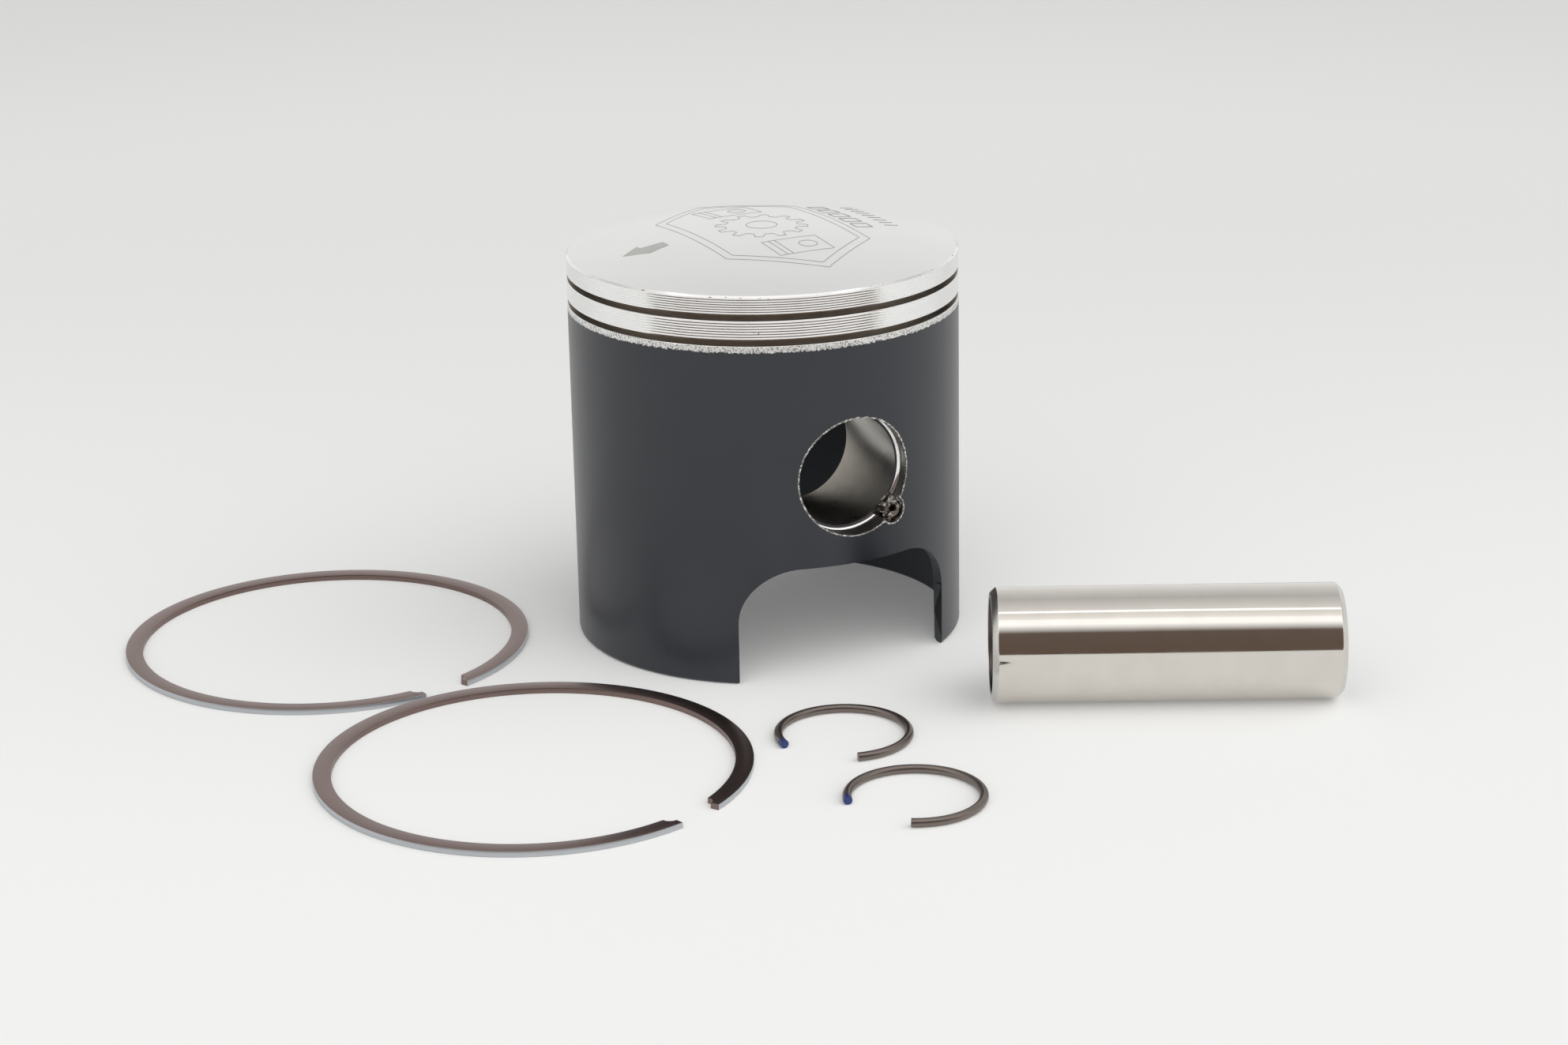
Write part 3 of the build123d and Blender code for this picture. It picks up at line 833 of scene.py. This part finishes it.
class PISTON_OT_pin(Operator):
    """Hollow wrist pin, ground outside"""
    bl_idname = "piston_set.pin"
    bl_label = "Wrist pin"

    def execute(self, context):
        s = context.scene.pin_settings
        middle, along = pin_frame()
        low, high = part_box("wrist_pin")
        radius = (high.z - low.z) / 2
        across = abs(along.y)
        half = ((high.x - low.x) / 2 - (radius - s.chamfer) * across) / along.x
        mouth, hollow = s.mouth / 2, s.hollow / 2
        bm = bmesh.new()
        corners = [(-half, mouth), (-half, radius - s.chamfer), (s.chamfer - half, radius),
                   (half - s.chamfer, radius), (half, radius - s.chamfer), (half, mouth),
                   (half - s.mouth_depth, hollow), (s.mouth_depth - half, hollow)]
        verts = [bm.verts.new((x, 0, z)) for x, z in corners]
        bm.faces.new(verts)
        bmesh.ops.bevel(bm, geom=list(bm.verts), offset=0.06 * MM, segments=2, profile=0.5,
                        affect="VERTICES", material=-1)
        bmesh.ops.delete(bm, geom=list(bm.faces), context="FACES_ONLY")
        section = list(bm.verts) + list(bm.edges)
        bmesh.ops.spin(bm, geom=section, cent=(0, 0, 0), axis=(1, 0, 0), dvec=(0, 0, 0),
                       angle=2 * pi, steps=192, use_merge=True, use_duplicate=False)
        bmesh.ops.remove_doubles(bm, verts=bm.verts, dist=WELD)
        bmesh.ops.recalc_face_normals(bm, faces=bm.faces)
        ground, brushed, turned = range(3)
        for face in bm.faces:
            spot = face.calc_center_median()
            reach = hypot(spot.y, spot.z)
            if reach > radius - 0.03 * MM:
                face.material_index = ground
            elif abs(spot.x) > half - s.chamfer - TOUCH and reach > mouth - 0.02 * MM:
                face.material_index = brushed
            else:
                face.material_index = turned
        turn = Matrix.Rotation(atan2(along.y, along.x), 4, "Z")
        bmesh.ops.transform(bm, matrix=Matrix.Translation(middle) @ turn, verts=bm.verts)
        finishes = [self.ground_steel(s), self.brushed_steel(), self.turned_steel()]
        finish_piece(bm, "hollow_wrist_pin", "loose_wrist_pin", finishes,
                     ["wrist_pin"])
        return {"FINISHED"}

    def own_place(self, tree, mm):
        """Millimetres along the pin and across it."""
        middle, along = pin_frame()
        centred = add(tree, "ShaderNodeMapping",
                      {"Vector": mm, "Location": tuple(middle / MM),
                       "Rotation": (0.0, 0.0, atan2(along.y, along.x))}, vector_type="TEXTURE")
        return centred.outputs[0]

    def ground_steel(self, s):
        # Case-hardened steel, ground and superfinished. Nearly a mirror, with grinding lines
        # round the pin that are finer than a micrometre deep.
        material, tree, shader, mm = start_material("ground_steel", Metallic=1.0)
        own = self.own_place(tree, mm)
        lines = streaks(tree, own, (6.0, 0.12, 0.12), 3.0)
        cloud = add(tree, "ShaderNodeTexNoise", {"Vector": own, "Scale": 0.3, "Detail": 3.0})
        shine = add(tree, "ShaderNodeMapRange", {"Value": cloud.outputs[0], "From Min": 0.3,
                                                 "From Max": 0.7, "To Min": 0.05, "To Max": 0.1})
        set_finish(tree, shader, (cloud.outputs[0], "#d2cec7", s.steel), relief=(lines, 0.0006))
        tree.links.new(shine.outputs[0], shader.inputs["Roughness"])
        return material

    def brushed_steel(self):
        # The chamfers and end faces, turned and linished. Bright and finely lined.
        material, tree, shader, mm = start_material("linished_steel", Metallic=1.0, Roughness=0.3)
        lines = streaks(tree, self.own_place(tree, mm), (14.0, 0.6, 0.6), 4.0)
        set_finish(tree, shader, (lines, "#c2beb8", "#e8e6e2"), relief=(lines, 0.01))
        return material

    def turned_steel(self):
        # The hollow, drilled and turned and left dark from hardening.
        material, tree, shader, mm = start_material("dark_turned_steel", Metallic=1.0,
                                                    Roughness=0.42)
        rings = streaks(tree, self.own_place(tree, mm), (4.0, 0.2, 0.2), 2.0)
        set_finish(tree, shader, (rings, "#4c4845", "#6f6a66"), relief=(rings, 0.02))
        return material


# ---------------------------------------------------------------- circlips
class PISTON_OT_clips(Operator):
    """Wire circlips with one painted end"""
    bl_idname = "piston_set.clips"
    bl_label = "Circlips"

    def execute(self, context):
        s = context.scene.clip_settings
        finishes = [self.spring_wire(s), self.marking_paint(s), self.cut_end()]
        paint, cut = 1, 2
        for node, name, opening in (("first_circlip", "near_wire_clip", radians(-143.6)),
                                    ("second_circlip", "far_wire_clip", radians(-160.4))):
            low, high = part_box(node)
            wire = (high.z - low.z) / 2
            outside = (high.y - low.y) / 2
            centre = Vector((high.x - outside, high.y - outside, low.z + wire))
            coil = outside - wire
            start = opening + s.opening / 2
            whole = 2 * pi - s.opening
            painted = s.paint_length / coil
            bm = bmesh.new()
            bmesh.ops.create_circle(bm, cap_ends=True, segments=28, radius=wire)
            stand = (Matrix.Translation(centre) @ Matrix.Rotation(start, 4, "Z")
                     @ Matrix.Translation((coil, 0, 0)) @ Matrix.Rotation(pi / 2, 4, "X"))
            bmesh.ops.transform(bm, matrix=stand, verts=bm.verts)
            section = list(bm.verts) + list(bm.edges) + list(bm.faces)
            spin_parts(bm, section, centre, ((whole - painted, 150), (painted, 8)))
            ends = [face for face in bm.faces if len(face.verts) > 4]
            rims = [edge for face in ends for edge in face.edges]
            bmesh.ops.bevel(bm, geom=rims, offset=0.07 * MM, segments=2, profile=0.5,
                            affect="EDGES", material=-1)
            for face in bm.faces:
                spot = face.calc_center_median() - centre
                turned = (atan2(spot.y, spot.x) - start) % (2 * pi)
                far_end = whole - painted < turned < whole + painted
                if far_end:
                    face.material_index = paint
                elif len(face.verts) > 4:
                    face.material_index = cut
            finish_piece(bm, name, "loose_" + node, finishes, [node])
        return {"FINISHED"}

    def spring_wire(self, s):
        # Oil-tempered spring wire. Grey-brown and half glossy, with a faintly mottled scale.
        material, tree, shader, mm = start_material("oil_tempered_wire", Metallic=1.0)
        scale = add(tree, "ShaderNodeTexNoise", {"Vector": mm, "Scale": 0.8, "Detail": 2.0})
        set_finish(tree, shader, (scale.outputs[0], "#7d746f", s.wire),
                   (scale.outputs[0], 0.34, 0.42), (scale.outputs[0], 0.004))
        return material

    def marking_paint(self, s):
        # Brushed-on marking paint. Blue and glossy, uneven in thickness.
        material, tree, shader, mm = start_material("marking_paint", Roughness=0.35)
        film = add(tree, "ShaderNodeTexNoise", {"Vector": mm, "Scale": 3.0, "Detail": 2.0})
        set_finish(tree, shader, (film.outputs[0], s.paint, "#233a70"),
                   relief=(film.outputs[0], 0.04))
        return material

    def cut_end(self):
        # Freshly sheared end of the wire. Brighter and rougher than its skin.
        material, tree, shader, mm = start_material("sheared_wire_end", Metallic=1.0,
                                                    Roughness=0.4)
        grain = add(tree, "ShaderNodeTexNoise", {"Vector": mm, "Scale": 6.0, "Detail": 2.0})
        set_finish(tree, shader, (grain.outputs[0], "#8a8581", "#b5b1ad"))
        return material


# ---------------------------------------------------------------- stage
class PISTON_OT_stage(Operator):
    """Pale floor, soft light all round and the camera"""
    bl_idname = "piston_set.stage"
    bl_label = "Stage"

    def execute(self, context):
        s = context.scene.stage_settings
        self.lay_floor(s)
        self.light_room(context.scene)
        self.place_camera(context.scene, s)
        context.scene.view_settings.view_transform = "Standard"
        return {"FINISHED"}

    def lay_floor(self, s):
        # Matte white paper over a light table.
        material, tree, shader, mm = start_material("matte_paper", Roughness=0.85)
        mottle = add(tree, "ShaderNodeTexNoise", {"Vector": mm, "Scale": 0.01, "Detail": 3.0})
        # Painted shade: the paper greys towards the tent's back, and with distance all round
        depth = add(tree, "ShaderNodeVectorMath", {0: mm, 1: tuple(-TENT_FRONT)},
                    operation="DOT_PRODUCT")
        behind = add(tree, "ShaderNodeMapRange",
                     {"Value": depth.outputs["Value"], "From Min": -110.0, "From Max": 260.0,
                      "To Max": 0.62}, interpolation_type="SMOOTHSTEP")
        reach = add(tree, "ShaderNodeVectorMath", {0: mm}, operation="LENGTH")
        far = add(tree, "ShaderNodeMapRange",
                  {"Value": reach.outputs["Value"], "From Min": 320.0, "From Max": 620.0,
                   "To Max": 0.38}, interpolation_type="SMOOTHSTEP")
        both = add(tree, "ShaderNodeMath", {0: behind.outputs[0], 1: far.outputs[0]})
        # Random mottle plus the painted shade towards the back and far away
        wander = add(tree, "ShaderNodeMath", {0: mottle.outputs[0], 1: 0.04, 2: both.outputs[0]},
                     operation="MULTIPLY_ADD")
        set_finish(tree, shader, (wander.outputs[0], s.paper, s.paper_far_shade))
        shader.inputs["Emission Color"].default_value = (1.0, 1.0, 1.0, 1.0)
        shader.inputs["Emission Strength"].default_value = s.glow
        bm = bmesh.new()
        bmesh.ops.create_circle(bm, cap_ends=True, segments=s.sides, radius=s.floor_radius)
        bmesh.ops.translate(bm, vec=(0, 0, FLOOR - 0.01 * MM), verts=bm.verts)
        mesh = bpy.data.meshes.new("floor")
        bm.to_mesh(mesh)
        bm.free()
        mesh.materials.append(material)
        floor = bpy.data.objects.new("floor", mesh)
        bpy.context.scene.collection.objects.link(floor)

    def light_room(self, scene):
        """A white light tent. Polished metal sees the tent: a dark open front, lamps above it
        and a pale ceiling. Matte surfaces take soft light from the front and above."""
        world = bpy.data.worlds.new("light_tent")
        scene.world = world
        world.use_nodes = True
        world.cycles.sampling_method = "NONE"
        tree = world.node_tree
        tree.nodes.clear()
        toward = add(tree, "ShaderNodeTexCoord").outputs["Generated"]
        ahead = add(tree, "ShaderNodeVectorMath", {0: toward, 1: tuple(TENT_FRONT)},
                    operation="DOT_PRODUCT").outputs["Value"]
        sideways = (-TENT_FRONT.y, TENT_FRONT.x, 0.0)
        beside = add(tree, "ShaderNodeVectorMath", {0: toward, 1: sideways},
                     operation="DOT_PRODUCT").outputs["Value"]
        up = add(tree, "ShaderNodeSeparateXYZ", {0: toward}).outputs["Z"]
        # Angle over the top, from the front horizon at 0 to the back horizon at 1
        over = add(tree, "ShaderNodeMath", {0: up, 1: ahead}, operation="ARCTAN2")
        arch = add(tree, "ShaderNodeMath", {0: over.outputs[0], 1: pi}, operation="DIVIDE")
        ramp = add(tree, "ShaderNodeValToRGB", {0: arch.outputs[0]})
        self.fill_ramp(ramp.color_ramp.elements, TENT_ARCH)
        off_middle = add(tree, "ShaderNodeMath", {0: beside}, operation="ABSOLUTE")
        # The arch gives way to the side walls between 62 and 70 degrees off the middle
        side = add(tree, "ShaderNodeMapRange",
                   {"Value": off_middle.outputs[0], "From Min": sin(radians(62)),
                    "From Max": sin(radians(70))}, interpolation_type="SMOOTHSTEP")
        tent = add(tree, "ShaderNodeMix", {"Factor": side.outputs[0], "A": ramp.outputs[0],
                                           "B": self.scaled(*linear(TENT_WALL)[:3])},
                   data_type="RGBA")
        mirror = add(tree, "ShaderNodeBackground", {"Color": tent.outputs["Result"],
                                                    "Strength": TENT_SCALE})
        key = Matrix.Rotation(radians(FILL_TURN), 3, "Z") @ TENT_FRONT
        toward_key = add(tree, "ShaderNodeVectorMath", {0: toward, 1: tuple(key)},
                         operation="DOT_PRODUCT")
        front = add(tree, "ShaderNodeMapRange",
                    {"Value": toward_key.outputs["Value"], "From Min": -0.35, "From Max": 0.6,
                     "To Min": FILL_BACK, "To Max": FILL_FRONT}, interpolation_type="SMOOTHSTEP")
        # Less of it comes from near the floor, so that the parts keep their contact shadows
        lift = add(tree, "ShaderNodeMath", {0: up, 1: 0.45, 2: 0.72}, operation="MULTIPLY_ADD")
        lifted = add(tree, "ShaderNodeMath", {0: front.outputs[0], 1: lift.outputs[0]},
                     operation="MULTIPLY")
        fill = add(tree, "ShaderNodeBackground", {"Strength": lifted.outputs[0]})
        fill.inputs["Color"].default_value = (1.0, 1.0, 1.0, 1.0)
        path = add(tree, "ShaderNodeLightPath")
        light = add(tree, "ShaderNodeMixShader", {0: path.outputs["Is Diffuse Ray"],
                                                  1: mirror.outputs[0], 2: fill.outputs[0]})
        # The backdrop meets the floor in the floor's own far tone, greyer on the far side as
        # painted shade
        away = add(tree, "ShaderNodeMapRange", {"Value": ahead, "From Min": -0.6, "From Max": 0.3,
                                                "To Min": 1.0, "To Max": 0.0},
                   interpolation_type="SMOOTHSTEP")
        backdrop = add(tree, "ShaderNodeMix", {"Factor": away.outputs[0],
                                               "A": linear(TENT_HORIZON),
                                               "B": linear(TENT_BACKDROP)}, data_type="RGBA")
        horizon = add(tree, "ShaderNodeBackground", {"Color": backdrop.outputs["Result"]})
        seen = add(tree, "ShaderNodeMixShader", {0: path.outputs["Is Camera Ray"],
                                                 1: light.outputs[0], 2: horizon.outputs[0]})
        add(tree, "ShaderNodeOutputWorld", {"Surface": seen.outputs[0]})

    def scaled(self, red, green, blue):
        """A colour of the tent as it is stored, divided by the tent's scale."""
        return (red / TENT_SCALE, green / TENT_SCALE, blue / TENT_SCALE, 1.0)

    def fill_ramp(self, points, stops):
        """Set a colour ramp's stops, each of (angle in degrees, red, green, blue)."""
        while len(points) < len(stops):
            points.new(0.5)
        for point, (angle, red, green, blue) in zip(points, stops):
            point.position = angle / 180
            point.color = self.scaled(red, green, blue)

    def place_camera(self, scene, s):
        camera = bpy.data.cameras.new("camera")
        camera.sensor_fit = "HORIZONTAL"
        camera.sensor_width = 36.0
        camera.lens = s.focal_length
        camera.clip_start = 0.01
        camera.clip_end = 50.0
        holder = bpy.data.objects.new("camera", camera)
        scene.collection.objects.link(holder)
        turn, tilt, roll = (radians(angle) for angle in CAMERA_TURN)
        holder.matrix_world = (Matrix.Translation([value * MM for value in CAMERA_PLACE])
                               @ Matrix.Rotation(turn, 4, "Z") @ Matrix.Rotation(tilt, 4, "X")
                               @ Matrix.Rotation(roll, 4, "Z"))
        scene.camera = holder


# ---------------------------------------------------------------- panel and registration
class PISTON_PT_panel(Panel):
    """Buttons and settings for every piece"""
    bl_idname = "PISTON_PT_panel"
    bl_label = "Piston set"
    bl_space_type = "VIEW_3D"
    bl_region_type = "UI"
    bl_category = "Piston set"

    def draw(self, context):
        for operator in OPERATORS:
            self.layout.operator(operator.bl_idname)
        for name, _ in SETTINGS:
            box = self.layout.box()
            group = getattr(context.scene, name)
            for prop in group.bl_rna.properties:
                if prop.identifier not in {"rna_type", "name"}:
                    box.prop(group, prop.identifier)


SETTINGS = (("piston_settings", PistonSettings), ("mark_settings", MarkSettings),
            ("ring_settings", RingSettings), ("pin_settings", PinSettings),
            ("clip_settings", ClipSettings), ("stage_settings", StageSettings))
OPERATORS = (PISTON_OT_body, PISTON_OT_bore_edges, PISTON_OT_pegs, PISTON_OT_marks,
             PISTON_OT_rings, PISTON_OT_pin, PISTON_OT_clips, PISTON_OT_stage)


def register():
    for _, group in SETTINGS:
        bpy.utils.register_class(group)
    for operator in OPERATORS:
        bpy.utils.register_class(operator)
    bpy.utils.register_class(PISTON_PT_panel)
    for name, group in SETTINGS:
        setattr(bpy.types.Scene, name, PointerProperty(type=group))


def unregister():
    for name, _ in SETTINGS:
        delattr(bpy.types.Scene, name)
    bpy.utils.unregister_class(PISTON_PT_panel)
    for operator in reversed(OPERATORS):
        bpy.utils.unregister_class(operator)
    for _, group in reversed(SETTINGS):
        bpy.utils.unregister_class(group)


def main():
    register()
    bpy.ops.piston_set.body()
    bpy.ops.piston_set.bore_edges()
    bpy.ops.piston_set.pegs()
    bpy.ops.piston_set.marks()
    bpy.ops.piston_set.rings()
    bpy.ops.piston_set.pin()
    bpy.ops.piston_set.clips()
    bpy.ops.piston_set.stage()


if __name__ == "__main__":
    main()
